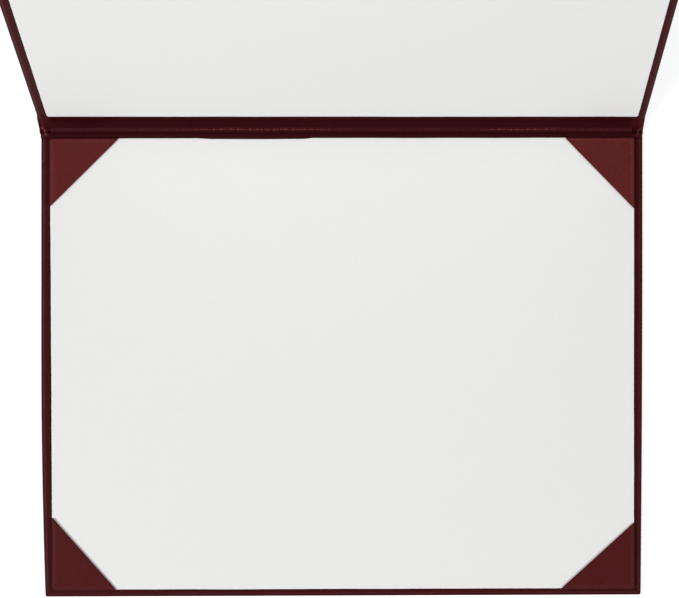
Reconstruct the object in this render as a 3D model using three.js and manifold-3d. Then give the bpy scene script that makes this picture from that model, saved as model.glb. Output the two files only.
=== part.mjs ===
// Landscape diploma cover for a letter-size document: two stiff covers joined by a soft spine,
// all wrapped in one leatherette sheet, shown lying on its lower cover with the upper cover raised.
// Millimetres, +Z up. Origin: middle of the lower cover's underside. The spine runs along X.
import * as THREE from "three";
import { mergeVertices } from "three/addons/utils/BufferGeometryUtils.js";
import Module from "manifold-3d";

const wasm = await Module();
wasm.setup();

// The white lining cards, one letter-size sheet each
const liningWidth = 279.4;
const liningDepth = 215.9;
const liningCornerRadius = 1.2;

// Leatherette border that each cover shows round its card, and how far off centre the cards are laid
const sideBorder = 4.3;
const freeBorder = 3.1;
const hingeBorder = 3;
const upperLiningLift = 0.6;
const liningShift = 0.4;
const coverCornerRadius = 1.2;

// Materials by thickness
const leatherThickness = 0.4;
const boardThickness = 2;
const liningThickness = 0.5;
const stiffenerThickness = 0.5;

// Room between glued layers, and between parts that turn past each other
const layerGap = 0.2;
const runningGap = 0.25;
const closedGap = 0.3;

// The leatherette's folds
const turnInWidth = 15;
const turnInAtHinge = 4.6;
const foldRadius = 0.8;
const mitreSlit = 0.3;
const hingeStripReach = 15;

// The corner pockets of the lower cover
const pocketReach = 33;
const pocketFlapWidth = 10;
const hemWidth = 6;
const hemThickness = 0.3;
const documentSlot = 0.3;

// How far the spine's layers reach past its two crease axes
const creaseReach = 0.2;

// Angles above the table in the pose shown
const spineRaise = 48;
const coverRaise = 62;

// Heights of the layers above a cover's outer face
const boardBottom = leatherThickness + layerGap;
const boardTop = boardBottom + boardThickness;
const turnInBottom = boardTop + layerGap;
const turnInTop = turnInBottom + leatherThickness;
const flapBottom = turnInTop + layerGap;
const flapTop = flapBottom + leatherThickness;
const lowerLiningBottom = flapTop + layerGap;
const lowerLiningTop = lowerLiningBottom + liningThickness;
const slotTop = lowerLiningTop + documentSlot;
const hemTop = slotTop + hemThickness;
const pocketTop = hemTop + leatherThickness;
const upperLiningBottom = turnInTop + layerGap;
const upperLiningTop = upperLiningBottom + liningThickness;

// The spine spans the closed stack, and its crease axes lie at half its own thickness
const spineThickness = 2 * leatherThickness + 2 * layerGap + stiffenerThickness;
const axisHeight = spineThickness / 2;
const spineSpan = pocketTop + closedGap + upperLiningTop - 2 * axisHeight;
const jointGap = Math.hypot(creaseReach, axisHeight) + runningGap;

// Outer size of one cover
const coverWidth = liningWidth + 2 * sideBorder;
const coverDepth = hingeBorder + liningDepth + freeBorder;
const halfWidth = coverWidth / 2;
const halfDepth = coverDepth / 2;
const hingeStripHalf = halfWidth - turnInAtHinge - layerGap;
const past = 5;

const degrees = (angle) => (angle * Math.PI) / 180;

const material = (name, color, roughness) =>
  new THREE.MeshStandardMaterial({ name, color, roughness, metalness: 0 });
const maroonLeatherette = material("maroon_leatherette", 0x5c2528, 0.45);
const whiteLining = material("white_lining", 0xeaeae8, 0.8);
const greyBoard = material("grey_board", 0x9a938a, 0.9);

// A closed geometry as a solid for joining and cutting
function solidOf(geometry) {
  const plain = geometry.index ? geometry.toNonIndexed() : geometry.clone();
  plain.deleteAttribute("normal");
  plain.deleteAttribute("uv");
  const merged = mergeVertices(plain, 1e-4);
  const vertProperties = new Float32Array(merged.attributes.position.array);
  const triVerts = new Uint32Array(merged.index.array);
  return new wasm.Manifold(new wasm.Mesh({ numProp: 3, vertProperties, triVerts }));
}

// A solid as a named mesh of one material
function meshOf(name, solid, finish) {
  const { vertProperties, triVerts } = solid.getMesh();
  const geometry = new THREE.BufferGeometry();
  geometry.setAttribute("position", new THREE.BufferAttribute(new Float32Array(vertProperties), 3));
  geometry.setIndex(new THREE.BufferAttribute(new Uint32Array(triVerts), 1));
  geometry.computeVertexNormals();
  const mesh = new THREE.Mesh(geometry, finish);
  mesh.name = name;
  return mesh;
}

// A block between two corners
function block([x0, y0, z0], [x1, y1, z1]) {
  const geometry = new THREE.BoxGeometry(x1 - x0, y1 - y0, z1 - z0);
  geometry.translate((x0 + x1) / 2, (y0 + y1) / 2, (z0 + z1) / 2);
  return solidOf(geometry);
}

// A flat outline raised from one height to another
function raised(shape, bottom, top) {
  const geometry = new THREE.ExtrudeGeometry(shape, {
    depth: top - bottom,
    bevelEnabled: false,
    curveSegments: 4,
  });
  geometry.translate(0, 0, bottom);
  return solidOf(geometry);
}

// A rectangle whose corners are quarter circles
function roundedRectangle(x0, y0, x1, y1, radius) {
  const shape = new THREE.Shape();
  shape.moveTo(x0 + radius, y0);
  shape.lineTo(x1 - radius, y0);
  shape.absarc(x1 - radius, y0 + radius, radius, -Math.PI / 2, 0, false);
  shape.lineTo(x1, y1 - radius);
  shape.absarc(x1 - radius, y1 - radius, radius, 0, Math.PI / 2, false);
  shape.lineTo(x0 + radius, y1);
  shape.absarc(x0 + radius, y1 - radius, radius, Math.PI / 2, Math.PI, false);
  shape.lineTo(x0, y0 + radius);
  shape.absarc(x0 + radius, y0 + radius, radius, Math.PI, Math.PI * 1.5, false);
  return shape;
}

const polygon = (points) => new THREE.Shape(points.map(([x, y]) => new THREE.Vector2(x, y)));

// A cover's own frame: Y = 0 at its hinge edge and coverDepth at its free edge, Z = 0 on its outer face.

// Leatherette sheet folded round a cover's board on three sides. The hinge side stays open.
function coverSkin(name) {
  const rounding = Math.min(foldRadius, turnInTop / 2 - 0.1, coverCornerRadius - 0.1);
  const outline = roundedRectangle(-halfWidth, -past, halfWidth, coverDepth, coverCornerRadius);
  const slab = new THREE.ExtrudeGeometry(outline, {
    depth: turnInTop - 2 * rounding,
    bevelThickness: rounding,
    bevelSize: rounding,
    bevelOffset: -rounding,
    bevelSegments: 3,
    curveSegments: 4,
  });
  slab.translate(0, 0, rounding);
  const inner = halfWidth - leatherThickness;
  const cavity = block(
    [-inner, -2 * past, leatherThickness],
    [inner, coverDepth - leatherThickness, turnInBottom],
  );
  const window = block(
    [turnInWidth - halfWidth, -2 * past, leatherThickness],
    [halfWidth - turnInWidth, coverDepth - turnInWidth, turnInTop + past],
  );
  const besideStrip = block(
    [turnInAtHinge - halfWidth, -2 * past, leatherThickness],
    [halfWidth - turnInAtHinge, hingeStripReach + layerGap, turnInTop + past],
  );
  const behindHinge = block([-coverWidth, -2 * past, -past], [coverWidth, 0, turnInTop + past]);
  let skin = solidOf(slab).subtract(cavity).subtract(window).subtract(besideStrip);
  skin = skin.subtract(behindHinge);
  for (const side of [-1, 1]) skin = skin.subtract(mitre(side));
  return meshOf(name, skin, maroonLeatherette);
}

// The slit where two turn-ins meet at 45 degrees at a free corner
function mitre(side) {
  const length = (turnInWidth - coverCornerRadius) * Math.SQRT2;
  const slit = new THREE.BoxGeometry(length, mitreSlit, 2 * leatherThickness);
  slit.rotateZ(degrees(side * 45));
  const middle = (turnInWidth + coverCornerRadius) / 2;
  slit.translate(side * (halfWidth - middle), coverDepth - middle, turnInBottom + leatherThickness);
  return solidOf(slit);
}

// Stiff board inside the skin
function coverBoard(name) {
  const edge = leatherThickness + layerGap;
  const board = block(
    [edge - halfWidth, edge, boardBottom],
    [halfWidth - edge, coverDepth - edge, boardTop],
  );
  return meshOf(name, board, greyBoard);
}

// The part of the inner hinge strip that is glued to a cover: it laps the board and its hinge edge
function hingeStrip(name) {
  const rounding = Math.min(foldRadius, turnInTop - boardBottom);
  const outer = new THREE.Shape();
  outer.moveTo(0, boardBottom);
  outer.lineTo(0, turnInTop - rounding);
  outer.absarc(rounding, turnInTop - rounding, rounding, Math.PI, Math.PI / 2, true);
  outer.lineTo(hingeStripReach, turnInTop);
  outer.lineTo(hingeStripReach, turnInBottom);
  outer.lineTo(leatherThickness, turnInBottom);
  outer.lineTo(leatherThickness, boardBottom);
  const geometry = new THREE.ExtrudeGeometry(outer, {
    depth: 2 * hingeStripHalf,
    bevelEnabled: false,
    curveSegments: 4,
  });
  geometry.applyMatrix4(
    new THREE.Matrix4().makeBasis(
      new THREE.Vector3(0, 1, 0),
      new THREE.Vector3(0, 0, 1),
      new THREE.Vector3(1, 0, 0),
    ),
  );
  geometry.translate(-hingeStripHalf, 0, 0);
  return meshOf(name, solidOf(geometry), maroonLeatherette);
}

// White card glued over the turn-ins, a little off centre as a hand-laid card is
function liningCard(name, bottom, shift, fromHinge) {
  const outline = roundedRectangle(
    shift - liningWidth / 2,
    fromHinge,
    shift + liningWidth / 2,
    fromHinge + liningDepth,
    liningCornerRadius,
  );
  return meshOf(name, raised(outline, bottom, bottom + liningThickness), whiteLining);
}

// Leatherette triangle folded round a corner of the lining card, with a hemmed slanting mouth.
// side is -1 or 1 across the cover, and end is -1 at the hinge edge or 1 at the free edge.
function cornerPocket({ name, side, end, widthShare, depthShare }, shift) {
  const alongWidth = widthShare * pocketReach;
  const alongDepth = depthShare * pocketReach;
  const cornerX = shift + (side * liningWidth) / 2;
  const cornerY = end < 0 ? hingeBorder : hingeBorder + liningDepth;
  const at = (x, y) => [cornerX - side * x, cornerY - end * y];
  const wall = leatherThickness + layerGap;
  const slope = alongDepth / alongWidth;
  const inwards = (distance) => distance * Math.hypot(1 / alongWidth, 1 / alongDepth);
  // The triangle between two outer edges and the mouth line, moved towards the corner by back
  const triangle = (edge, back) => {
    const share = 1 - inwards(back);
    return polygon([
      at(-edge, -edge),
      at(share * alongWidth + edge / slope, -edge),
      at(-edge, share * alongDepth + edge * slope),
    ]);
  };
  const reach = 2 * (alongWidth + alongDepth);
  const square = (from) => polygon([at(from, from), at(reach, from), at(reach, reach), at(from, reach)]);
  const pocket = raised(triangle(wall, 0), flapBottom, pocketTop)
    .subtract(raised(square(-layerGap), flapTop, slotTop))
    .subtract(raised(triangle(layerGap, hemWidth), slotTop - layerGap, hemTop))
    .subtract(raised(square(pocketFlapWidth), flapBottom - past, flapTop + layerGap));
  return meshOf(name, pocket, maroonLeatherette);
}

// The spine's own frame: Y = 0 on the lower crease axis and spineSpan on the upper one.
// Z = 0 lies at mid thickness.

// Outer leatherette of the spine, folded over both ends of the stiffener
function spineSkin() {
  const from = -creaseReach;
  const to = spineSpan + creaseReach;
  const inner = halfWidth - leatherThickness;
  const window = halfWidth - turnInAtHinge;
  const level = axisHeight - leatherThickness;
  const skin = block([-halfWidth, from, -axisHeight], [halfWidth, to, axisHeight])
    .subtract(block([-inner, from - past, -level], [inner, to + past, level]))
    .subtract(block([-window, from - past, -level], [window, to + past, axisHeight + past]));
  return meshOf("spine_skin", skin, maroonLeatherette);
}

// Card strip that keeps the spine straight
function spineStiffener() {
  const end = halfWidth - leatherThickness - layerGap;
  const half = stiffenerThickness / 2;
  return meshOf("spine_stiffener", block([-end, 0, -half], [end, spineSpan, half]), greyBoard);
}

// The middle of the inner hinge strip
function spineLining() {
  const strip = block(
    [-hingeStripHalf, -creaseReach, axisHeight - leatherThickness],
    [hingeStripHalf, spineSpan + creaseReach, axisHeight],
  );
  return meshOf("spine_lining", strip, maroonLeatherette);
}

// Lower cover: turned so that its hinge edge is at +Y. Its frame's X runs along -X.
const lowerCover = new THREE.Group();
lowerCover.position.set(0, halfDepth, 0);
lowerCover.rotation.z = Math.PI;
lowerCover.add(coverSkin("lower_cover_skin"));
lowerCover.add(coverBoard("lower_board"));
lowerCover.add(hingeStrip("lower_hinge_strip"));
lowerCover.add(liningCard("lower_lining", lowerLiningBottom, -liningShift, hingeBorder));

// Each pocket was folded by hand, so its two edges differ a little from the common reach
const pockets = [
  { name: "pocket_hinge_left", side: 1, end: -1, widthShare: 1, depthShare: 0.99 },
  { name: "pocket_hinge_right", side: -1, end: -1, widthShare: 0.97, depthShare: 1.02 },
  { name: "pocket_front_left", side: 1, end: 1, widthShare: 0.95, depthShare: 1.07 },
  { name: "pocket_front_right", side: -1, end: 1, widthShare: 1.07, depthShare: 0.97 },
];
for (const pocket of pockets) lowerCover.add(cornerPocket(pocket, -liningShift));

// Upper cover, hung from the spine's upper crease
const upperCover = new THREE.Group();
upperCover.position.set(0, jointGap, -axisHeight);
upperCover.add(coverSkin("upper_cover_skin"));
upperCover.add(coverBoard("upper_board"));
upperCover.add(hingeStrip("upper_hinge_strip"));
upperCover.add(
  liningCard("upper_lining", upperLiningBottom, liningShift, hingeBorder + upperLiningLift),
);

const upperCrease = new THREE.Group();
upperCrease.position.set(0, spineSpan, 0);
upperCrease.rotation.x = degrees(coverRaise - spineRaise);
upperCrease.add(upperCover);

// Spine, hung from the lower crease
const spine = new THREE.Group();
spine.position.set(0, halfDepth + jointGap, axisHeight);
spine.rotation.x = degrees(spineRaise);
spine.add(spineSkin());
spine.add(spineStiffener());
spine.add(spineLining());
spine.add(upperCrease);

const diplomaCover = new THREE.Group();
diplomaCover.add(lowerCover);
diplomaCover.add(spine);

export default diplomaCover;
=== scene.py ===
"""A landscape diploma cover in maroon leatherette, lying open with its upper cover raised.

Pieces are worked out in millimetres in their own flat frames, then carried to their place in metres.
"""

import math

import bpy
import numpy as np
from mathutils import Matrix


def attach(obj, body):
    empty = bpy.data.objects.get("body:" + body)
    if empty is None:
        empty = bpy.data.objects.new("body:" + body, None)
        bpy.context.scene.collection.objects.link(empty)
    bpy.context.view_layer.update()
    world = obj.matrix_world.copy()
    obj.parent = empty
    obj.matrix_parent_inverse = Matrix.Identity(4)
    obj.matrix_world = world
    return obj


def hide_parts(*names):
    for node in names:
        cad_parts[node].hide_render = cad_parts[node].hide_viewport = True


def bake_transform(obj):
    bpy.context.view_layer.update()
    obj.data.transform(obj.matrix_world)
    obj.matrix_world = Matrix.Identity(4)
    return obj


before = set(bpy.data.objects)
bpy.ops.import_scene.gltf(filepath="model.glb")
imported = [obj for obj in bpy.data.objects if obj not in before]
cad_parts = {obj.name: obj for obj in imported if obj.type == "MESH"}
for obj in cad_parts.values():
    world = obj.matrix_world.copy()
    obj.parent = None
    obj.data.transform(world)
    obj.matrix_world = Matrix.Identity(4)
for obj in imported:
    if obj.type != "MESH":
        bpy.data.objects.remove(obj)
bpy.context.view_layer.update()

# Lower cover's wrap.
# A sheet of leatherette is folded over three edges of a board and glued down inside, with mitred
# corners. The fourth side runs on across the hinge.

MM = 0.001
COVER_WIDTH = 288.0
COVER_DEPTH = 222.0
HALF_WIDTH = COVER_WIDTH / 2
HALF_DEPTH = COVER_DEPTH / 2
LEATHER = 0.4
COVER_HEIGHT = 3.2
EDGE_RADIUS = 0.95
TURN_IN = 15.0
CORNER_RADIUS = 0.9
HINGE_SETBACK = 3.0
EXTRA_RIGHT = 0.4
FACE_INSET = 22.0
SIDE_STEPS = 90
CORNER_STEPS = 9
SHARPEST = 0.08

SPINE_RAISE = math.radians(48)
COVER_RAISE = math.radians(62)
AXIS_HEIGHT = 0.85
AXIS_GAP = 1.1232
SPINE_SPAN = 8.0


def linear(red, green, blue):
    """A screen colour of 0 to 255 as the light it stands for."""
    share = np.array([red, green, blue]) / 255
    light = np.where(share <= 0.04045, share / 12.92, ((share + 0.055) / 1.055) ** 2.4)
    return (*light, 1.0)


def ripple(position, wavelengths, seed):
    """A smooth random line from -1 to 1: the mean of sines of these wavelengths, with seeded phases."""
    phases = np.random.default_rng(seed).uniform(0, 2 * np.pi, len(wavelengths))
    waves = [np.sin(2 * np.pi * position / w + p) for w, p in zip(wavelengths, phases)]
    return np.sum(waves, axis=0) / len(wavelengths)


def smooth(value):
    """The S-curve 3t^2 - 2t^3, with t held between 0 and 1."""
    t = np.clip(value, 0, 1)
    return t * t * (3 - 2 * t)


def folded_rows(corners, insets, heights, radius, side_steps=60):
    """Rows of points round a convex polygon, one row for each level of a folded edge.

    In each row every side is moved inwards by its own inset and raised to its own height. The new
    corner is where two moved sides cross. It is rounded by an arc whose radius is the given one, for
    all corners or each, less the smaller inset, and never under the sharpest. Along that arc the height
    passes from one side's to the next.
    """
    corners = np.asarray(corners, float)
    insets = np.asarray(insets, float)
    heights = np.asarray(heights, float)
    before = np.roll(np.arange(len(corners)), 1)
    side = np.roll(corners, -1, 0) - corners
    side /= np.linalg.norm(side, axis=1)[:, None]
    inward = np.stack([-side[:, 1], side[:, 0]], 1)
    level = (corners * inward).sum(1) + insets
    last = inward[before]
    turn = last[:, 0] * inward[:, 1] - last[:, 1] * inward[:, 0]
    x = (level[:, before] * inward[:, 1] - level * last[:, 1]) / turn
    y = (last[:, 0] * level - inward[:, 0] * level[:, before]) / turn
    half = last + inward
    half /= np.linalg.norm(half, axis=1)[:, None]
    rounding = np.maximum(radius - np.minimum(insets[:, before], insets), SHARPEST)
    reach = rounding / (half * inward).sum(1)
    centre = np.stack([x, y], -1) + reach[..., None] * half
    share = np.linspace(0, 1, CORNER_STEPS)
    angle = np.arccos(np.clip((last * inward).sum(1), -1, 1))[:, None] * share
    normal = (
        np.cos(angle)[..., None] * last[:, None] - np.sin(angle)[..., None] * side[before][:, None]
    )
    arcs = centre[:, :, None] - rounding[:, :, None, None] * normal[None]
    step = smooth(share)
    arc_heights = heights[:, before, None] * (1 - step) + heights[:, :, None] * step
    spread = (1 - np.cos(np.pi * np.arange(1, side_steps) / side_steps)) / 2
    start = arcs[:, :, -1]
    finish = np.roll(arcs, -1, 1)[:, :, 0]
    sides = start[:, :, None] + spread[:, None] * (finish - start)[:, :, None]
    side_heights = np.repeat(heights[:, :, None], side_steps - 1, 2)
    rows = np.concatenate([arcs, sides], 2)
    tall = np.concatenate([arc_heights, side_heights], 2)
    points = np.concatenate([rows, tall[..., None]], -1)
    return points.reshape(len(insets), -1, 3)


def rounded_edge(low, high, radius, steps=6):
    """Insets and heights round an edge: a quarter circle out, a straight wall, a quarter circle in."""
    angle = np.linspace(0, np.pi / 2, steps)
    out = radius * (1 - np.sin(angle))
    rise = radius * (1 - np.cos(angle))
    insets = np.concatenate([out, out[::-1]])
    heights = np.concatenate([low + rise, high - rise[::-1]])
    return insets, heights


def piece_of(name, rows, closed=False, caps=(), thickness=0.0):
    """A mesh on rows of points in millimetres, with four-sided faces between neighbours.

    closed joins each row's end to its start, caps fills the first (0) or the last row (-1) with one
    face, and thickness turns the sheet into a wall that grows behind its faces. A fourth value of the
    points says how far the leatherette is paled there, from 0 to 1: where it is stretched, and where a
    highlight is painted.
    """
    height, width = rows.shape[:2]
    index = np.arange(height * width).reshape(height, width)
    if closed:
        index = np.concatenate([index, index[:, :1]], 1)
    quads = np.stack([index[:-1, :-1], index[:-1, 1:], index[1:, 1:], index[1:, :-1]], -1)
    faces = quads.reshape(-1, 4).tolist()
    if 0 in caps:
        faces.append(np.arange(width)[::-1].tolist())
    if -1 in caps:
        faces.append((np.arange(width) + (height - 1) * width).tolist())
    mesh = bpy.data.meshes.new(name)
    mesh.from_pydata((rows[..., :3].reshape(-1, 3) * MM).tolist(), [], faces)
    mesh.polygons.foreach_set("use_smooth", [True] * len(faces))
    if rows.shape[-1] == 4:
        stretched = mesh.attributes.new("stretched", "FLOAT", "POINT")
        stretched.data.foreach_set("value", np.clip(rows[..., 3], 0, 1).ravel())
    piece = bpy.data.objects.new(name, mesh)
    bpy.context.scene.collection.objects.link(piece)
    if thickness:
        wall = piece.modifiers.new("wall", "SOLIDIFY")
        wall.thickness = thickness * MM
        wall.offset = -1
    return piece


def on_lower(along, height):
    """A point of the YZ plane in the lower cover's frame: along runs from the hinge edge outwards."""
    return np.stack([HALF_DEPTH - np.asarray(along, float), np.asarray(height, float)], -1)


def on_spine(along, height):
    """The same for the spine: along runs from the lower crease axis to the upper one, and height from
    mid thickness inwards."""
    way = np.array([math.cos(SPINE_RAISE), math.sin(SPINE_RAISE)])
    up = np.array([-way[1], way[0]])
    start = np.array([HALF_DEPTH + AXIS_GAP, AXIS_HEIGHT])
    return start + np.multiply.outer(along, way) + np.multiply.outer(height, up)


def on_upper(along, height):
    """The same for the upper cover: along runs from its hinge edge, height from its outer face."""
    way = np.array([math.cos(COVER_RAISE), math.sin(COVER_RAISE)])
    up = np.array([-way[1], way[0]])
    axis = on_spine(SPINE_SPAN, 0.0)
    away = np.asarray(along, float) + AXIS_GAP
    above = np.asarray(height, float) - AXIS_HEIGHT
    return axis + np.multiply.outer(away, way) + np.multiply.outer(above, up)


def carried(rows, place):
    """Rows of (x, along, height) taken to their place in space by one of the functions above. A fourth
    value stays as it is. Where the place mirrors them, the rows are turned round, so that their faces
    still look outwards."""
    flat = place(0.0, 0.0)
    step_along = place(1.0, 0.0) - flat
    step_up = place(0.0, 1.0) - flat
    spot = flat + rows[..., 1:2] * step_along + rows[..., 2:3] * step_up
    rows = np.concatenate([rows[..., :1], spot, rows[..., 3:]], -1)
    mirrored = step_along[0] * step_up[1] - step_along[1] * step_up[0] < 0
    return rows[:, ::-1] if mirrored else rows


def new_group(name, inputs, outputs):
    """An empty shader node group with named sockets of the given kinds, and its two end nodes."""
    group = bpy.data.node_groups.new(name, "ShaderNodeTree")
    for socket, kind in inputs:
        group.interface.new_socket(socket, in_out="INPUT", socket_type="NodeSocket" + kind)
    for socket, kind in outputs:
        group.interface.new_socket(socket, in_out="OUTPUT", socket_type="NodeSocket" + kind)
    return group, group.nodes.new("NodeGroupInput"), group.nodes.new("NodeGroupOutput")


def leather_surface():
    """Leatherette grain: rounded pebbles with fine creases between them, darkened as painted shade. Slow
    mottling runs from deep to bright, and the colour turns towards pale where the sheet is stretched over
    a fold and where a highlight is painted."""
    group, inputs, outputs = new_group(
        "leather_surface",
        (("Deep", "Color"), ("Bright", "Color"), ("Pale", "Color"), ("Roughness", "Float"),
         ("Pebbles per metre", "Float"), ("Mottling per metre", "Float")),
        (("Colour", "Color"), ("Roughness", "Float"), ("Normal", "Vector")),
    )
    nodes, links = group.nodes, group.links
    place = nodes.new("ShaderNodeTexCoord")

    warp = nodes.new("ShaderNodeTexNoise")
    warp.inputs["Scale"].default_value = 700
    warp.inputs["Detail"].default_value = 2
    links.new(place.outputs["Object"], warp.inputs["Vector"])
    push = nodes.new("ShaderNodeVectorMath")
    push.operation = "MULTIPLY_ADD"
    push.inputs[1].default_value = (0.0006, 0.0006, 0.0006)
    links.new(warp.outputs["Color"], push.inputs[0])
    links.new(place.outputs["Object"], push.inputs[2])

    pebbles = nodes.new("ShaderNodeTexVoronoi")
    pebbles.feature = "DISTANCE_TO_EDGE"
    links.new(push.outputs["Vector"], pebbles.inputs["Vector"])
    links.new(inputs.outputs["Pebbles per metre"], pebbles.inputs["Scale"])
    crown = nodes.new("ShaderNodeMapRange")
    crown.interpolation_type = "SMOOTHSTEP"
    crown.inputs["From Max"].default_value = 0.22
    links.new(pebbles.outputs["Distance"], crown.inputs["Value"])

    fine = nodes.new("ShaderNodeTexNoise")
    fine.inputs["Scale"].default_value = 5200
    fine.inputs["Detail"].default_value = 3
    links.new(place.outputs["Object"], fine.inputs["Vector"])
    height = nodes.new("ShaderNodeMath")
    height.operation = "MULTIPLY_ADD"
    height.inputs[1].default_value = 0.35
    links.new(fine.outputs["Fac"], height.inputs[0])
    links.new(crown.outputs["Result"], height.inputs[2])
    bump = nodes.new("ShaderNodeBump")
    bump.inputs["Strength"].default_value = 0.45
    bump.inputs["Distance"].default_value = 0.00007
    links.new(height.outputs["Value"], bump.inputs["Height"])

    mottle = nodes.new("ShaderNodeTexNoise")
    mottle.inputs["Detail"].default_value = 4
    mottle.inputs["Roughness"].default_value = 0.6
    links.new(place.outputs["Object"], mottle.inputs["Vector"])
    links.new(inputs.outputs["Mottling per metre"], mottle.inputs["Scale"])
    tone = nodes.new("ShaderNodeMix")
    tone.data_type = "RGBA"
    links.new(inputs.outputs["Deep"], tone.inputs["A"])
    links.new(inputs.outputs["Bright"], tone.inputs["B"])
    links.new(mottle.outputs["Fac"], tone.inputs["Factor"])

    # Pale where the sheet is stretched, and painted highlights along edges, folds and ridges.
    stretched = nodes.new("ShaderNodeAttribute")
    stretched.attribute_name = "stretched"
    stretch_and_highlight_mix = nodes.new("ShaderNodeMix")
    stretch_and_highlight_mix.data_type = "RGBA"
    links.new(stretched.outputs["Fac"], stretch_and_highlight_mix.inputs["Factor"])
    links.new(tone.outputs["Result"], stretch_and_highlight_mix.inputs["A"])
    links.new(inputs.outputs["Pale"], stretch_and_highlight_mix.inputs["B"])

    # Painted shade: the grain's creases between the pebbles are darkened.
    crease = nodes.new("ShaderNodeMapRange")
    crease.inputs["To Min"].default_value = 0.5
    crease.inputs["To Max"].default_value = 0.0
    links.new(crown.outputs["Result"], crease.inputs["Value"])
    shade = nodes.new("ShaderNodeMix")
    shade.data_type = "RGBA"
    shade.blend_type = "MULTIPLY"
    shade.inputs["B"].default_value = (0.55, 0.5, 0.5, 1)
    links.new(stretch_and_highlight_mix.outputs["Result"], shade.inputs["A"])
    links.new(crease.outputs["Result"], shade.inputs["Factor"])

    uneven = nodes.new("ShaderNodeMapRange")
    uneven.inputs["To Min"].default_value = -0.07
    uneven.inputs["To Max"].default_value = 0.09
    links.new(mottle.outputs["Fac"], uneven.inputs["Value"])
    rough = nodes.new("ShaderNodeMath")
    links.new(inputs.outputs["Roughness"], rough.inputs[0])
    links.new(uneven.outputs["Result"], rough.inputs[1])

    links.new(shade.outputs["Result"], outputs.inputs["Colour"])
    links.new(rough.outputs["Value"], outputs.inputs["Roughness"])
    links.new(bump.outputs["Normal"], outputs.inputs["Normal"])
    return group


def surface(name, group, shine, values):
    """A material whose colour, roughness and normal come from a node group with its own values."""
    material = bpy.data.materials.new(name)
    material.use_nodes = True
    nodes, links = material.node_tree.nodes, material.node_tree.links
    shader = nodes["Principled BSDF"]
    shader.inputs["Specular IOR Level"].default_value = shine
    effect = nodes.new("ShaderNodeGroup")
    effect.node_tree = group
    for socket, value in values.items():
        effect.inputs[socket].default_value = value
    links.new(effect.outputs["Colour"], shader.inputs["Base Color"])
    links.new(effect.outputs["Roughness"], shader.inputs["Roughness"])
    links.new(effect.outputs["Normal"], shader.inputs["Normal"])
    return material


LEATHER_SURFACE = leather_surface()
LEATHER_SHINE = 0.05


def leatherette(name, deep, bright, pale):
    """Embossed leatherette in its own three colours; pale is for stretch and painted highlights."""
    values = {
        "Deep": deep, "Bright": bright, "Pale": pale, "Roughness": 0.42,
        "Pebbles per metre": 1500.0, "Mottling per metre": 60.0,
    }
    return surface(name, LEATHER_SURFACE, LEATHER_SHINE, values)


WRAP_LEATHER = leatherette(
    "maroon_wrap", linear(58, 12, 14), linear(70, 17, 19), linear(146, 88, 88)
)


def wrap_profile():
    """The folded edge of the wrap as insets and heights: outer face, rounded edge and turned-in border.
    Its steps are fine beside the edge, where wear and a painted highlight lie, and coarse on the flat."""
    insets, heights = rounded_edge(0.0, COVER_HEIGHT, EDGE_RADIUS)
    face = [FACE_INSET, 12.0, 5.0]
    border = [1.15, 1.3, 1.45, 1.6, 1.85, 2.2, 2.6, 3.1, 4.0, 5.5, 9.0, TURN_IN]
    insets = np.concatenate([face, insets, border])
    heights = np.concatenate([np.zeros(len(face)), heights, np.full(len(border), COVER_HEIGHT)])
    return insets, heights


# Wear and painted highlight along the board's edge: where it lies across the edge, how wide it is, and
# how strong on the left, the right and the free edge. The left is stronger as it faces the light.
EDGE_WEAR_AND_HIGHLIGHT_INSET = EDGE_RADIUS + 0.5
EDGE_WEAR_AND_HIGHLIGHT_WIDTH = 0.3
EDGE_WEAR_AND_HIGHLIGHT_LEFT = 0.28
EDGE_WEAR_AND_HIGHLIGHT_RIGHT = 0.12
EDGE_WEAR_AND_HIGHLIGHT_FREE = 0.14


def edge_wear_and_highlight(insets, heights, along, seed):
    """How far the leatherette is paled where the board's upper edge presses into it, for wear and a
    painted highlight: a bell across the edge, stronger and weaker along it."""
    bell = np.exp(-(((insets - EDGE_WEAR_AND_HIGHLIGHT_INSET) / EDGE_WEAR_AND_HIGHLIGHT_WIDTH) ** 2)) * (heights > COVER_HEIGHT / 2)
    return bell * (0.75 + 0.35 * ripple(along, (41, 23, 9, 5), seed))


LOWER_BOW = (0.3, 1.9, 105.0, 0.95, 40.0, 0.55)
UPPER_BOW = (0.15, 0.6, 150.0, 0.5, 150.0, 0.3)
HINGE_FADE = 140
LONGER_AT_LEFT = 0.37


def hand_cut(x, y, bow):
    """Where a point of the exact outline lies on the hand-cut one, in millimetres.

    bow holds how far the left edge lies inwards at the hinge, then how far the left and the right edge
    curve inwards at the free corners as a parabola, each with the parabola's start, and last how much
    the free edge is longer, which is a little more at its left end.
    """
    left_at_hinge, left, left_start, right, right_start, longer = bow
    left_curve = np.clip((y - left_start) / (COVER_DEPTH - left_start), 0, 1) ** 2
    right_curve = np.clip((y - right_start) / (COVER_DEPTH - right_start), 0, 1) ** 2
    fade = np.clip(1 - y / HINGE_FADE, 0, 1)
    push = np.where(x < 0, left * left_curve + left_at_hinge * fade, -right * right_curve)
    new_x = x + push * np.clip(np.abs(x) / HALF_WIDTH, 0, 1)
    new_y = y + longer * (1 - LONGER_AT_LEFT * x / COVER_WIDTH) * smooth(y / COVER_DEPTH)
    return new_x, new_y


MITRE_WIDTH = 0.35
MITRE_DEPTH = 0.22
MITRE_START = 0.9
UNEVEN = 0.05


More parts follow.
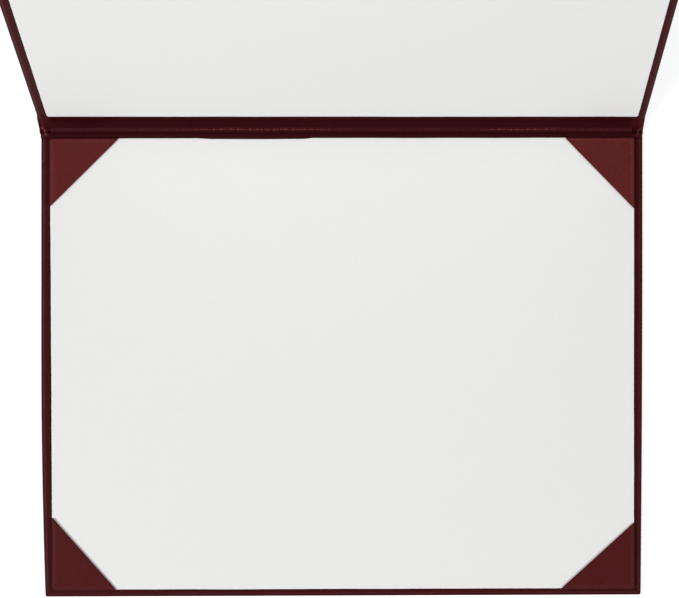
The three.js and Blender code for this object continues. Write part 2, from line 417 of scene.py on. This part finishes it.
def cover_wrap(name, place, bow):
    """Leatherette folded over three edges of a cover, from the hinge round the free edge and back.

    The loop of folded rows round the cover is opened along the hinge, and a shallow groove marks each
    mitre: a bell across the corner's diagonal. The border is a little uneven, and paled along its edge
    for wear and a painted highlight, stronger on the left side, which faces the light.
    """
    insets, heights = wrap_profile()
    corners = [
        (-HALF_WIDTH, 0), (HALF_WIDTH + EXTRA_RIGHT, 0), (HALF_WIDTH + EXTRA_RIGHT, COVER_DEPTH),
        (-HALF_WIDTH, COVER_DEPTH),
    ]
    four = np.repeat(insets[:, None], 4, 1)
    four[:, 0] = 0
    tall = np.repeat(heights[:, None], 4, 1)
    rows = folded_rows(corners, four, tall, CORNER_RADIUS, SIDE_STEPS)
    skipped = 2 * CORNER_STEPS + SIDE_STEPS - 1
    rows = np.roll(rows, -skipped, 1)[:, : rows.shape[1] - skipped]
    rows[..., 1] = HINGE_SETBACK + rows[..., 1] * (1 - HINGE_SETBACK / COVER_DEPTH)
    rows[:, [0, -1], 1] = HINGE_SETBACK
    x, y, z = np.moveaxis(rows, -1, 0).copy()
    to_side = np.minimum(x + HALF_WIDTH, HALF_WIDTH + EXTRA_RIGHT - x)
    inside = z > COVER_HEIGHT / 2
    off_diagonal = (to_side - (COVER_DEPTH - y)) / MITRE_WIDTH
    mitre = np.exp(-(off_diagonal ** 2)) * (to_side > MITRE_START) * inside
    wobble = ripple(x + 1.7 * y, (61, 37, 23), 3) * inside
    rows[..., 2] += UNEVEN * wobble - MITRE_DEPTH * mitre
    # Wear and painted highlight along the border's edge, stronger on the left side, which faces the
    # light.
    side = smooth((COVER_DEPTH - y - 4) / 4)
    edge_wear_and_highlight_share = side * np.where(x < 0, EDGE_WEAR_AND_HIGHLIGHT_LEFT, EDGE_WEAR_AND_HIGHLIGHT_RIGHT) + (1 - side) * EDGE_WEAR_AND_HIGHLIGHT_FREE
    stretched = edge_wear_and_highlight(insets[:, None], heights[:, None], x + y, 7) * edge_wear_and_highlight_share
    rows[..., 0], rows[..., 1] = hand_cut(x, y, bow)
    rows = np.concatenate([rows, stretched[..., None]], -1)
    return piece_of(name, carried(rows, place), caps=(0,), thickness=LEATHER)


lower_wrap = cover_wrap("lower_wrap", on_lower, LOWER_BOW)
lower_wrap.data.materials.append(WRAP_LEATHER)
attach(lower_wrap, "lower_cover")
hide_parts("lower_cover_skin")

# Upper cover's wrap.
# The same sheet of leatherette goes on beyond the hinge. It is folded over the upper board's three free
# edges and glued down inside in the same way.

upper_wrap = cover_wrap("upper_wrap", on_upper, UPPER_BOW)
upper_wrap.data.materials.append(WRAP_LEATHER)
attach(upper_wrap, "upper_cover")
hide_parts("upper_cover_skin")

# Hinge of the wrap.
# Between the covers the sheet runs on round the spine, with its sides turned in, and is pinched at the
# two creases. Its ends stand out a little where the leatherette is bunched.

HINGE_STEPS = 150
PINCHED_LOWER = 1.15
PINCHED_UPPER = 1.5
SPINE_HEIGHT = 1.75
PINCH_LEAD = 0.6
LEFT_BULGE = 0.8
RIGHT_BULGE = 0.45
PLEAT_HEIGHT = 0.65
PLEAT_WIDTH = 0.38
GUTTER_DEPTH = 0.4
GUTTER_WIDTH = 0.4
GUTTER_AWAY = 0.95


def softened(values, width):
    """Values along a path, each averaged with its neighbours by a bell curve of this width in steps."""
    reach = int(4 * width)
    bell = np.exp(-0.5 * (np.arange(-reach, reach + 1) / width) ** 2)
    bell /= bell.sum()
    lead = np.repeat(values[:1], reach, 0)
    tail = np.repeat(values[-1:], reach, 0)
    padded = np.concatenate([lead, values, tail])
    if values.ndim == 1:
        return np.convolve(padded, bell, "valid")
    return np.stack([np.convolve(column, bell, "valid") for column in padded.T], 1)


def path_through(points, steps, width):
    """A line through points at even steps of its length, with its corners softened. Its straight ends
    are run on before the softening, so that they stay where they are."""
    points = np.asarray(points, float)
    lengths = np.linalg.norm(np.diff(points, axis=0), axis=1)
    run = np.concatenate([[0], np.cumsum(lengths)])
    pitch = run[-1] / (steps - 1)
    extra = int(5 * width)
    even = np.linspace(0, run[-1], steps)
    line = np.stack([np.interp(even, run, points[:, k]) for k in (0, 1)], 1)
    first = (points[0] - points[1]) / lengths[0] * pitch
    last = (points[-1] - points[-2]) / lengths[-1] * pitch
    lead = line[0] + np.arange(extra, 0, -1)[:, None] * first
    tail = line[-1] + np.arange(1, extra + 1)[:, None] * last
    long = softened(np.concatenate([lead, line, tail]), width)
    return even, long[extra : extra + steps]


def inward_of(line):
    """Unit normals of a line in the YZ plane, on its left-hand side seen along the line."""
    way = np.gradient(line, axis=0)
    way /= np.linalg.norm(way, axis=1)[:, None]
    return np.stack([-way[:, 1], way[:, 0]], 1)


outer_points = np.concatenate(
    [
        on_lower([HINGE_SETBACK, 0.2], [0, 0]),
        on_spine([0.3, SPINE_SPAN - 0.3], [-AXIS_HEIGHT, -AXIS_HEIGHT]),
        on_upper([0.2, HINGE_SETBACK], [0, 0]),
    ]
)
outer_run, outer_line = path_through(outer_points, HINGE_STEPS, 5)
outer_up = inward_of(outer_line)
corner_run = np.concatenate([[0], np.cumsum(np.linalg.norm(np.diff(outer_points, axis=0), axis=1))])
hinge_end = outer_run[-1]
lower_crease = (corner_run[1] + corner_run[2]) / 2
upper_crease = (corner_run[3] + corner_run[4]) / 2
height_knots = np.array(
    [
        (0, COVER_HEIGHT),
        (HINGE_SETBACK - PINCH_LEAD, COVER_HEIGHT),
        (lower_crease, PINCHED_LOWER),
        (lower_crease + 1.5, SPINE_HEIGHT),
        (upper_crease - 1.2, SPINE_HEIGHT),
        (upper_crease, PINCHED_UPPER),
        (hinge_end - HINGE_SETBACK + PINCH_LEAD, COVER_HEIGHT),
        (hinge_end, COVER_HEIGHT),
    ]
)
wrap_height = softened(np.interp(outer_run, height_knots[:, 0], height_knots[:, 1]), 4)
FLAT_STEPS = 8
wrap_height[:FLAT_STEPS] = COVER_HEIGHT
wrap_height[-FLAT_STEPS:] = COVER_HEIGHT


def hinge_rows():
    """The wrap's section carried along the hinge, squeezed to the height at each step: the folded edge
    of one side, the outer face and the folded edge of the other side.

    Both sides are pushed out along the spine by an S-curve that rises and falls. At each end a slanting
    pleat, a bell across its own line, crosses the lower crease with a gutter beside it. The pleat's crest
    and the folded edges are paled for stretch and wear, and as a painted highlight.
    """
    insets, heights = wrap_profile()
    middle = np.linspace(-HALF_WIDTH + FACE_INSET, HALF_WIDTH - FACE_INSET, 80)[1:-1]
    across = np.concatenate([(-HALF_WIDTH + insets)[::-1], middle, HALF_WIDTH + EXTRA_RIGHT - insets])
    tall = np.concatenate([heights[::-1], np.zeros(len(middle)), heights])
    share = (wrap_height / COVER_HEIGHT)[:, None]
    x = np.repeat(across[None], HINGE_STEPS, 0)
    z = tall[None] * share
    bunched = smooth((outer_run - 1.2) / 2.4) * smooth((hinge_end - 1.0 - outer_run) / 3.5)
    near_end = smooth((np.abs(x) - 132) / 10)
    x = x + np.where(x < 0, -LEFT_BULGE, RIGHT_BULGE) * bunched[:, None] * near_end
    inset = np.where(x < 0, x + HALF_WIDTH, HALF_WIDTH + EXTRA_RIGHT - x)
    run = outer_run[:, None]
    top = z > 0.5 * wrap_height[:, None]
    pleat_at = 0.9 + (lower_crease + 2.8 - run) / 3
    window = smooth((run - 0.8) / 0.9) * smooth((lower_crease + 3.5 - run) / 0.9) * top
    window = window * np.where(x < 0, 1.0, 0.4)
    pleat = np.exp(-(((inset - pleat_at) / PLEAT_WIDTH) ** 2)) * window
    gutter = np.exp(-(((inset - pleat_at - GUTTER_AWAY) / GUTTER_WIDTH) ** 2)) * window
    z = z + (PLEAT_HEIGHT * pleat - GUTTER_DEPTH * gutter) * share
    spot = outer_line[:, None] + z[..., None] * outer_up[:, None]
    # Wear and painted highlight along the folded edges, and stretch with a painted highlight on the
    # pleat.
    edge_wear_and_highlight_share = edge_wear_and_highlight(inset, z, run, 7) * np.where(x < 0, EDGE_WEAR_AND_HIGHLIGHT_LEFT, EDGE_WEAR_AND_HIGHLIGHT_RIGHT) * (1 - window)
    stretched = edge_wear_and_highlight_share + pleat * (0.9 + 0.3 * ripple(run, (2.1, 1.3), 4))
    return np.concatenate([x[..., None], spot, stretched[..., None]], -1)


def bent_piece(name, rows, leather, wall):
    """A sheet of leatherette on these rows, with a wall of this thickness, baked in place."""
    sheet = piece_of(name, rows, thickness=wall)
    sheet.data.materials.append(leather)
    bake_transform(sheet)
    return sheet


wrap_rows = hinge_rows()[:, ::-1]
halfway = HINGE_STEPS // 2
lower_half = bent_piece(
    "hinge_wrap_lower", wrap_rows[: halfway + 1], WRAP_LEATHER, LEATHER,
)
bent_piece(
    "hinge_wrap_upper", wrap_rows[halfway:], WRAP_LEATHER, LEATHER,
)
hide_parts("spine_skin")

# Inner hinge strip.
# A second strip of leatherette lines the hinge. It is glued over both covers' edges and to the spine,
# and bunches into a broken ridge beside the lower crease.

STRIP_HALF = 139.3
STRIP_TOP = COVER_HEIGHT + 0.22
STRIP_WALL = 0.3
STRIP_STEPS = 570
STRIP_COLUMNS = 560
NEAR_CREASE = 8.5
FINE_STEP = 2
COARSE_STEP = 14
# The strip's colours are darker than the wrap's: painted shade in the hollow of the hinge.
SHADED_HINGE_LEATHER = leatherette(
    "maroon_hinge", linear(53, 11, 14), linear(61, 15, 18), linear(122, 56, 58)
)

strip_points = np.concatenate(
    [
        on_lower([14, 2.0, 1.2, 0.6, 0.15], [STRIP_TOP, STRIP_TOP, 3.33, 3.0, 2.85]),
        on_spine([1.5, 2.6, 5.2, 6.6, 7.6], [1.45, 1.08, 1.05, 1.35, 1.85]),
        on_upper([0.25, 1.3, 14], [3.0, STRIP_TOP, STRIP_TOP]),
    ]
)
strip_run, strip_line = path_through(strip_points, STRIP_STEPS, 4)
near_crease = np.abs(strip_run - strip_run[-1] / 2) < NEAR_CREASE
first_half = strip_run < strip_run[-1] / 2
kept_steps = np.concatenate(
    [
        np.flatnonzero(~near_crease & first_half)[::COARSE_STEP],
        np.flatnonzero(near_crease)[::FINE_STEP],
        np.flatnonzero(~near_crease & ~first_half)[COARSE_STEP - 1 :: COARSE_STEP],
    ]
)
kept_steps = np.unique(np.concatenate([[0], kept_steps, [len(strip_run) - 1]]))
strip_up = inward_of(strip_line)[kept_steps]
strip_line = strip_line[kept_steps]
strip_run = strip_run[kept_steps]
RIDGE_AT = 15.25
RIDGE_WIDTH = 0.6
SECOND_AWAY = 1.5
TROUGH_AWAY = 1.4
ENDS_LOWERED = 0.16
across = np.linspace(-STRIP_HALF, STRIP_HALF, STRIP_COLUMNS)


def strip_rows():
    """The strip's line carried across the cover, raised into the ridge and lightly rumpled.

    The ridge is a bell across the crease. Its height follows slow and quick random lines plus two
    places where the leatherette is bunched most, and its place wanders a little. A lower second ridge
    lies on one side of it and a trough on the other. Its colour is paled most on its crest, in speckles,
    for stretched leatherette and a painted highlight.
    """
    slow = ripple(across, (83, 47, 29, 17), 11)
    quick = ripple(across, (9.5, 6.1, 3.7, 2.3), 5)
    fast = ripple(across, (4.3, 2.9, 1.9, 1.6), 6)
    most = np.exp(-(((across + 38) / 32) ** 4)) + np.exp(-(((across - 86) / 17) ** 4))
    tall = 0.16 + 0.26 * most + 0.12 * slow + 0.10 * quick * (0.5 + most)
    wander = 0.2 * ripple(across, (53, 31, 13), 8)
    run = strip_run[:, None]
    crest = np.exp(-(((run - RIDGE_AT - wander) / RIDGE_WIDTH) ** 2))
    second = np.exp(-(((run - RIDGE_AT - SECOND_AWAY + wander) / 0.5) ** 2)) * 0.06 * (1 + quick)
    trough = -0.10 * np.exp(-(((run - RIDGE_AT + TROUGH_AWAY) / 0.4) ** 2)) * (1 + slow)
    edge = smooth((STRIP_HALF - np.abs(across)) / 1.2)
    lift = (crest * tall + second + trough) * edge - ENDS_LOWERED * (1 - edge)
    spot = strip_line[:, None] + lift[..., None] * strip_up[:, None]
    x = np.broadcast_to(across, spot.shape[:2])
    # Painted highlight in speckles on the ridge's crest, where the leatherette is also stretched.
    speckle = np.clip(1.6 * fast, -0.45, 1)
    stretched = crest ** 2 * (0.14 + 0.4 * most + 0.08 * slow + (0.12 + 0.6 * most) * speckle)
    return np.concatenate([x[..., None], spot, stretched[..., None]], -1)


inner_rows = strip_rows()
spine_middle = on_spine(SPINE_SPAN / 2, 0.95)
middle_at = int(np.argmin(np.linalg.norm(strip_line - spine_middle, axis=1)))
lower_strip = bent_piece(
    "hinge_strip_lower", inner_rows[: middle_at + 1], SHADED_HINGE_LEATHER, STRIP_WALL,
)
upper_strip = bent_piece(
    "hinge_strip_upper", inner_rows[middle_at:], SHADED_HINGE_LEATHER, STRIP_WALL,
)
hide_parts("lower_hinge_strip", "spine_lining")
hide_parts("upper_hinge_strip")

# Boards and spine stiffener.
# Each cover is stiff because of a sheet of grey board, pressed from waste paper and cut to size. The
# wrap is glued round it and hides it, as it does the thin strip of board in the spine.


def paper_surface():
    """Pressed paper: a pale ground with darker fibres, drawn by noise that is stretched one way."""
    group, inputs, outputs = new_group(
        "paper_surface",
        (("Pale", "Color"), ("Fibre", "Color"), ("Fibres per metre", "Float"), ("Roughness", "Float"),
         ("Depth", "Float")),
        (("Colour", "Color"), ("Roughness", "Float"), ("Normal", "Vector")),
    )
    nodes, links = group.nodes, group.links
    place = nodes.new("ShaderNodeTexCoord")
    stretch = nodes.new("ShaderNodeMapping")
    stretch.inputs["Scale"].default_value = (1, 0.35, 1)
    stretch.inputs["Rotation"].default_value = (0, 0, 0.5)
    links.new(place.outputs["Object"], stretch.inputs["Vector"])
    noise = nodes.new("ShaderNodeTexNoise")
    noise.inputs["Detail"].default_value = 6
    noise.inputs["Roughness"].default_value = 0.65
    links.new(inputs.outputs["Fibres per metre"], noise.inputs["Scale"])
    links.new(stretch.outputs["Vector"], noise.inputs["Vector"])
    tone = nodes.new("ShaderNodeMix")
    tone.data_type = "RGBA"
    links.new(inputs.outputs["Pale"], tone.inputs["A"])
    links.new(inputs.outputs["Fibre"], tone.inputs["B"])
    links.new(noise.outputs["Fac"], tone.inputs["Factor"])
    uneven = nodes.new("ShaderNodeMapRange")
    uneven.inputs["To Min"].default_value = -0.06
    uneven.inputs["To Max"].default_value = 0.06
    links.new(noise.outputs["Fac"], uneven.inputs["Value"])
    rough = nodes.new("ShaderNodeMath")
    links.new(inputs.outputs["Roughness"], rough.inputs[0])
    links.new(uneven.outputs["Result"], rough.inputs[1])
    bump = nodes.new("ShaderNodeBump")
    bump.inputs["Strength"].default_value = 0.3
    links.new(inputs.outputs["Depth"], bump.inputs["Distance"])
    links.new(noise.outputs["Fac"], bump.inputs["Height"])
    links.new(tone.outputs["Result"], outputs.inputs["Colour"])
    links.new(rough.outputs["Value"], outputs.inputs["Roughness"])
    links.new(bump.outputs["Normal"], outputs.inputs["Normal"])
    return group


PAPER_SURFACE = paper_surface()
PAPER_SHINE = 0.25
BOARD = surface("grey_board", PAPER_SURFACE, PAPER_SHINE, {
    "Pale": linear(158, 150, 140), "Fibre": linear(120, 112, 104), "Fibres per metre": 900.0,
    "Roughness": 0.88, "Depth": 0.00008,
})
BOARD_LOW, BOARD_HIGH = 0.6, 2.6
BOARD_SETBACK = 0.6
BOARD_EDGE = 0.25
BOARD_CORNER = 0.4
RIM = 6.0


def board(name, place, bow):
    """A cover's board: its rim inside the wrap, filled above and below."""
    half, far = HALF_WIDTH - BOARD_SETBACK, COVER_DEPTH - BOARD_SETBACK
    corners = [(-half, BOARD_SETBACK), (half, BOARD_SETBACK), (half, far), (-half, far)]
    insets, heights = rounded_edge(BOARD_LOW, BOARD_HIGH, BOARD_EDGE, 4)
    insets = np.concatenate([[RIM], insets, [RIM]])
    heights = np.concatenate([[BOARD_LOW], heights, [BOARD_HIGH]])
    four = np.repeat(insets[:, None], 4, 1)
    rows = folded_rows(corners, four, np.repeat(heights[:, None], 4, 1), BOARD_CORNER)
    rows[..., 0], rows[..., 1] = hand_cut(rows[..., 0], rows[..., 1], bow)
    core = piece_of(name, carried(rows, place), closed=True, caps=(0, -1))
    core.data.materials.append(BOARD)
    return core


lower_core = board("lower_core", on_lower, LOWER_BOW)
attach(lower_core, "lower_cover")
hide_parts("lower_board")
upper_core = board("upper_core", on_upper, UPPER_BOW)
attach(upper_core, "upper_cover")
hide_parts("upper_board")
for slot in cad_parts["spine_stiffener"].material_slots:
    slot.material = BOARD

# White linings.
# A sheet of smooth off-white card covers the inside of each cover and hides the turned-in leatherette.
# Both are cut by hand, a little out of square. The lower one sits in the corner pockets.

CARD_THICKNESS = 0.5
CARD_EDGE = 0.16
CARD_CORNER = 1.1
CARD_STEPS = 120
LINING_DEPTH = 215.9
LOWER_CARD_LEFT = -139.15
LOWER_CARD_RIGHT = 140.0
LOWER_CARD_NEAR = 3.0
LOWER_CARD_FAR = LOWER_CARD_NEAR + LINING_DEPTH
LOWER_CARD_HEIGHT = 4.0
LOWER_CARD = [
    (LOWER_CARD_LEFT, LOWER_CARD_NEAR + 0.4),
    (LOWER_CARD_RIGHT, LOWER_CARD_NEAR + 0.05),
    (LOWER_CARD_RIGHT - 0.15, LOWER_CARD_FAR),
    (LOWER_CARD_LEFT + 0.8, LOWER_CARD_FAR),
]
UPPER_CARD_LEFT = -138.9
UPPER_CARD_RIGHT = 140.45
UPPER_CARD_NEAR = 3.6
UPPER_CARD_FAR = UPPER_CARD_NEAR + LINING_DEPTH
UPPER_CARD_HEIGHT = 3.4
UPPER_CARD = [
    (UPPER_CARD_LEFT, UPPER_CARD_NEAR),
    (UPPER_CARD_RIGHT, UPPER_CARD_NEAR),
    (UPPER_CARD_RIGHT - 0.15, UPPER_CARD_FAR),
    (UPPER_CARD_LEFT + 0.05, UPPER_CARD_FAR),
]
POCKET_REACH = 33.0
SQUEEZED = 0.3
WORN_FROM, WORN_TO = -67, -14
WORN_BACK = 0.42
CARD = surface("lining_card", PAPER_SURFACE, PAPER_SHINE, {
    "Pale": linear(236, 236, 235), "Fibre": linear(230, 230, 228), "Fibres per metre": 1500.0,
    "Roughness": 0.8, "Depth": 0.00002,
})


def lining(name, place, corners, low, seed, tucked=False):
    """A card with softly cut edges: folded rows round its outline, filled above and below, whose edges
    follow a random line. A tucked one is squeezed a little where it sits in the pockets, and worn back
    along a stretch of the hinge."""
    high = low + CARD_THICKNESS
    insets, heights = rounded_edge(low, high, CARD_EDGE, 4)
    insets = np.concatenate([[RIM], insets, [0.8, RIM]])
    heights = np.concatenate([[low], heights, [high, high]])
    four = np.repeat(insets[:, None], 4, 1)
    tall = np.repeat(heights[:, None], 4, 1)
    rows = folded_rows(corners, four, tall, CARD_CORNER, CARD_STEPS)
    edge = ripple(rows[..., 0] + 2.3 * rows[..., 1], (190, 97, 61, 37), seed)
    rows[..., 1] += 0.1 * edge
    rows[..., 0] += 0.08 * np.roll(edge, 40, 1)
    if tucked:
        x, y = rows[..., 0].copy(), rows[..., 1].copy()
        to_side = LOWER_CARD_RIGHT - np.abs(x)
        to_end = np.minimum(y - LOWER_CARD_NEAR, LOWER_CARD_FAR - y)
        rim = np.minimum(to_end, to_side) < 1.5
        squeeze = SQUEEZED * rim * smooth((POCKET_REACH - 3 - to_side - to_end) / 5)
        rows[..., 0] -= squeeze * np.sign(x)
        rows[..., 1] += squeeze * np.sign(LOWER_CARD_FAR / 2 - y)
        stretch = smooth((x - WORN_FROM) / 2.5) * smooth((WORN_TO - x) / 2.5)
        rows[..., 1] += WORN_BACK * stretch * (y < LOWER_CARD_NEAR + 2)
    card = piece_of(name, carried(rows, place), closed=True, caps=(0, -1))
    card.data.materials.append(CARD)
    return card


lower_card = lining(
    "lower_lining_card", on_lower, LOWER_CARD, LOWER_CARD_HEIGHT, 21, tucked=True
)
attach(lower_card, "lower_cover")
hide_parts("lower_lining")
upper_card = lining("upper_lining_card", on_upper, UPPER_CARD, UPPER_CARD_HEIGHT, 22)
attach(upper_card, "upper_cover")
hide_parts("upper_lining")

# Corner pockets.
# Each is a triangle of leatherette with a hem along its slanting mouth. Its two other edges are folded
# round the corner of the lining card and glued underneath.

POCKET_BOTTOM = 3.45
POCKET_TOP = 5.5
POCKET_WALL = 0.2
POCKET_FOLD = 1.0
POCKET_OVERHANG = 0.1
POCKET_STEPS = 50
FLAP_REACH = 5.0
HEM_RADIUS = 0.33
BOX_CORNER, MOUTH_CORNER = 1.1, 0.3
SWELL = 0.10
# Where the painted highlight along a pocket's two folded edges lies, how wide it is, and how strong.
FOLD_HIGHLIGHT_AT, FOLD_HIGHLIGHT_WIDTH = 1.2, 0.5
FOLD_HIGHLIGHT_STRENGTH = 0.14
TOP_INSETS = [1.2, 2.2, 4.0, 6.0]
# The pockets by the hinge are lighter than the ones at the free edge: painted light from the raised white
# upper lining close beside them.
LIT_HINGE_POCKETS = leatherette(
    "maroon_pocket_lit", linear(90, 32, 33), linear(102, 38, 39), linear(125, 80, 80)
)
SHADED_FRONT_POCKETS = leatherette(
    "maroon_pocket_shaded", linear(76, 23, 25), linear(86, 27, 29), linear(110, 68, 68)
)


def fold_profile():
    """A folded edge of a pocket as insets and heights: the flap under the card, a straight rise and a
    quarter circle over to the top."""
    turn = np.linspace(0, np.pi / 2, 6)
    insets = [[FLAP_REACH, 0.25, 0.0, 0.0], POCKET_FOLD * (1 - np.cos(turn)), TOP_INSETS]
    rise = [POCKET_BOTTOM, POCKET_BOTTOM, POCKET_BOTTOM + 0.25, POCKET_BOTTOM + 0.6]
    over = POCKET_TOP - POCKET_FOLD * (1 - np.sin(turn))
    return np.concatenate(insets), np.concatenate([rise, over, np.full(len(TOP_INSETS), POCKET_TOP)])


def hem_profile():
    """The hem along a pocket's mouth as insets and heights: a flap turned under by a half circle."""
    turn = np.linspace(-np.pi / 2, np.pi / 2, 7)
    insets = [[FLAP_REACH, 3.0, 1.0], HEM_RADIUS * (1 - np.cos(turn)), TOP_INSETS]
    under = np.full(3, POCKET_TOP - 2 * HEM_RADIUS)
    over = POCKET_TOP - HEM_RADIUS * (1 - np.sin(turn))
    return np.concatenate(insets), np.concatenate([under, over, np.full(len(TOP_INSETS), POCKET_TOP)])


def pocket(name, corner, side, end, width_share, depth_share, seed):
    """A triangular sleeve. Its rows run from the flaps under the card, round the two folded edges and
    over the top. Along the mouth the same rows run from the hem, round its fold, to the top."""
    corner_x, corner_y = corner
    wide = POCKET_REACH * width_share
    deep = POCKET_REACH * depth_share
    slope = deep / wide
    corners = [
        (corner_x + side * POCKET_OVERHANG, corner_y + end * POCKET_OVERHANG),
        (corner_x - side * (wide + POCKET_OVERHANG / slope), corner_y + end * POCKET_OVERHANG),
        (corner_x + side * POCKET_OVERHANG, corner_y - end * (deep + POCKET_OVERHANG * slope)),
    ]
    mouth = 1
    if side * end < 0:
        corners = [corners[0], corners[2], corners[1]]
    fold_insets, fold_heights = fold_profile()
    insets = np.stack([fold_insets] * 3, 1)
    heights = np.stack([fold_heights] * 3, 1)
    insets[:, mouth], heights[:, mouth] = hem_profile()
    radius = np.array([BOX_CORNER, MOUTH_CORNER, MOUTH_CORNER])
    rows = folded_rows(corners, insets, heights, radius, POCKET_STEPS)
    top = rows[..., 2] > POCKET_TOP - 0.2
    swell = SWELL * ripple(rows[..., 0] + 0.7 * rows[..., 1], (31, 17, 11), seed)
    rows[..., 2] += np.where(top, swell, 0)
    # Painted highlight along the two folded edges, on top of their rounding, where the sheet is also
    # stretched.
    fold_highlight = np.exp(-(((insets - FOLD_HIGHLIGHT_AT) / FOLD_HIGHLIGHT_WIDTH) ** 2)) * (heights > POCKET_BOTTOM + 1)
    fold_highlight[:, mouth] = 0
    stretched = FOLD_HIGHLIGHT_STRENGTH * np.repeat(fold_highlight, rows.shape[1] // 3, 1)
    rows = np.concatenate([rows, stretched[..., None]], -1)
    sleeve = piece_of(
        name, carried(rows, on_lower), closed=True, caps=(-1,), thickness=POCKET_WALL
    )
    # Painted light: the lighter copy goes on the pockets by the hinge.
    sleeve.data.materials.append(LIT_HINGE_POCKETS if end < 0 else SHADED_FRONT_POCKETS)
    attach(sleeve, "lower_cover")
    return sleeve


for corner, (name, side, end, width_share, depth_share, seed) in zip(LOWER_CARD, (
    ("pocket_hinge_left", -1, -1, 1.003, 0.991, 31),
    ("pocket_hinge_right", 1, -1, 1.01, 1.035, 32),
    ("pocket_front_right", 1, 1, 1.062, 0.962, 34),
    ("pocket_front_left", -1, 1, 0.928, 1.056, 33),
)):
    sleeve = pocket(name + "_sleeve", corner, side, end, width_share, depth_share, seed)
    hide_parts(name)

# Floor and backdrop.
# A plain white sheet of paper, spread out well past the cover. The camera sees it a little brighter
# than it is lit, as in a studio picture, and it keeps the cover's soft shadow.

FLOOR_HALF = 1600
FLOOR_LEVEL = -0.2
FLOOR_GLOW = 0.55


def paper_white():
    """White that the camera sees as bright as paper, while the light on the object stays level."""
    material = bpy.data.materials.new("studio_white")
    material.use_nodes = True
    nodes, links = material.node_tree.nodes, material.node_tree.links
    nodes.clear()
    out = nodes.new("ShaderNodeOutputMaterial")
    matt = nodes.new("ShaderNodeBsdfDiffuse")
    matt.inputs["Color"].default_value = (0.8, 0.8, 0.8, 1)
    glow = nodes.new("ShaderNodeEmission")
    rays = nodes.new("ShaderNodeLightPath")
    seen = nodes.new("ShaderNodeMath")
    seen.operation = "MAXIMUM"
    links.new(rays.outputs["Is Camera Ray"], seen.inputs[0])
    links.new(rays.outputs["Is Glossy Ray"], seen.inputs[1])
    share = nodes.new("ShaderNodeMath")
    share.operation = "MULTIPLY"
    share.inputs[1].default_value = FLOOR_GLOW
    links.new(seen.outputs["Value"], share.inputs[0])
    links.new(share.outputs["Value"], glow.inputs["Strength"])
    both = nodes.new("ShaderNodeAddShader")
    links.new(matt.outputs["BSDF"], both.inputs[0])
    links.new(glow.outputs["Emission"], both.inputs[1])
    links.new(both.outputs["Shader"], out.inputs["Surface"])
    return material


floor_points = [
    (x, y, FLOOR_LEVEL) for y in (-FLOOR_HALF, FLOOR_HALF) for x in (-FLOOR_HALF, FLOOR_HALF)
]
floor_mesh = bpy.data.meshes.new("floor")
floor_mesh.from_pydata((np.array(floor_points) * MM).tolist(), [], [(0, 1, 3, 2)])
floor = bpy.data.objects.new("floor", floor_mesh)
bpy.context.scene.collection.objects.link(floor)
floor.data.materials.append(paper_white())

# Light and camera.
# Soft studio light from above and a little from the left. The camera looks straight down on the lower
# cover from 0.73 m.

SKY_ON_OBJECT = 0.22
SKY_SEEN = 1.0

world = bpy.data.worlds.new("studio")
bpy.context.scene.world = world
world.use_nodes = True
sky = world.node_tree.nodes["Background"]
sky.inputs["Color"].default_value = (1, 1, 1, 1)
sky_rays = world.node_tree.nodes.new("ShaderNodeLightPath")
sky_share = world.node_tree.nodes.new("ShaderNodeMapRange")
sky_share.inputs["To Min"].default_value = SKY_ON_OBJECT
sky_share.inputs["To Max"].default_value = SKY_SEEN
world.node_tree.links.new(sky_rays.outputs["Is Camera Ray"], sky_share.inputs["Value"])
world.node_tree.links.new(sky_share.outputs["Result"], sky.inputs["Strength"])


def lamp(name, spot, target, size, watts):
    """A square area lamp at a spot in metres, turned to its target."""
    light = bpy.data.lights.new(name, "AREA")
    light.size = size
    light.energy = watts
    holder = bpy.data.objects.new(name, light)
    bpy.context.scene.collection.objects.link(holder)
    way = np.subtract(target, spot)
    way = way / np.linalg.norm(way)
    holder.location = spot
    holder.rotation_euler = (math.acos(-way[2]), 0, math.atan2(way[1], way[0]) - math.pi / 2)
    return holder


LAMP_TARGET = (0, 0.05, 0.05)
lamp("key", (-1.2, -0.5, 1.4), LAMP_TARGET, size=0.7, watts=22.5)
lamp("fill", (1.3, -0.5, 1.4), LAMP_TARGET, size=0.8, watts=17)

FOCUS_PX = 1513.3
FRAME_PX = 679
SENSOR_MM = 36
SHIFT = -0.0606
CAMERA_AT = (0.01223, 0.03352, 0.72815)
TILT_DEGREES = (-0.215, -0.5035, -0.0619)
camera_data = bpy.data.cameras.new("camera")
camera_data.sensor_width = SENSOR_MM
camera_data.lens = FOCUS_PX / FRAME_PX * SENSOR_MM
camera_data.shift_x = SHIFT
camera = bpy.data.objects.new("camera", camera_data)
bpy.context.scene.collection.objects.link(camera)
camera.location = CAMERA_AT
camera.rotation_euler = tuple(math.radians(angle) for angle in TILT_DEGREES)
bpy.context.scene.camera = camera
bpy.context.scene.view_settings.view_transform = "Standard"
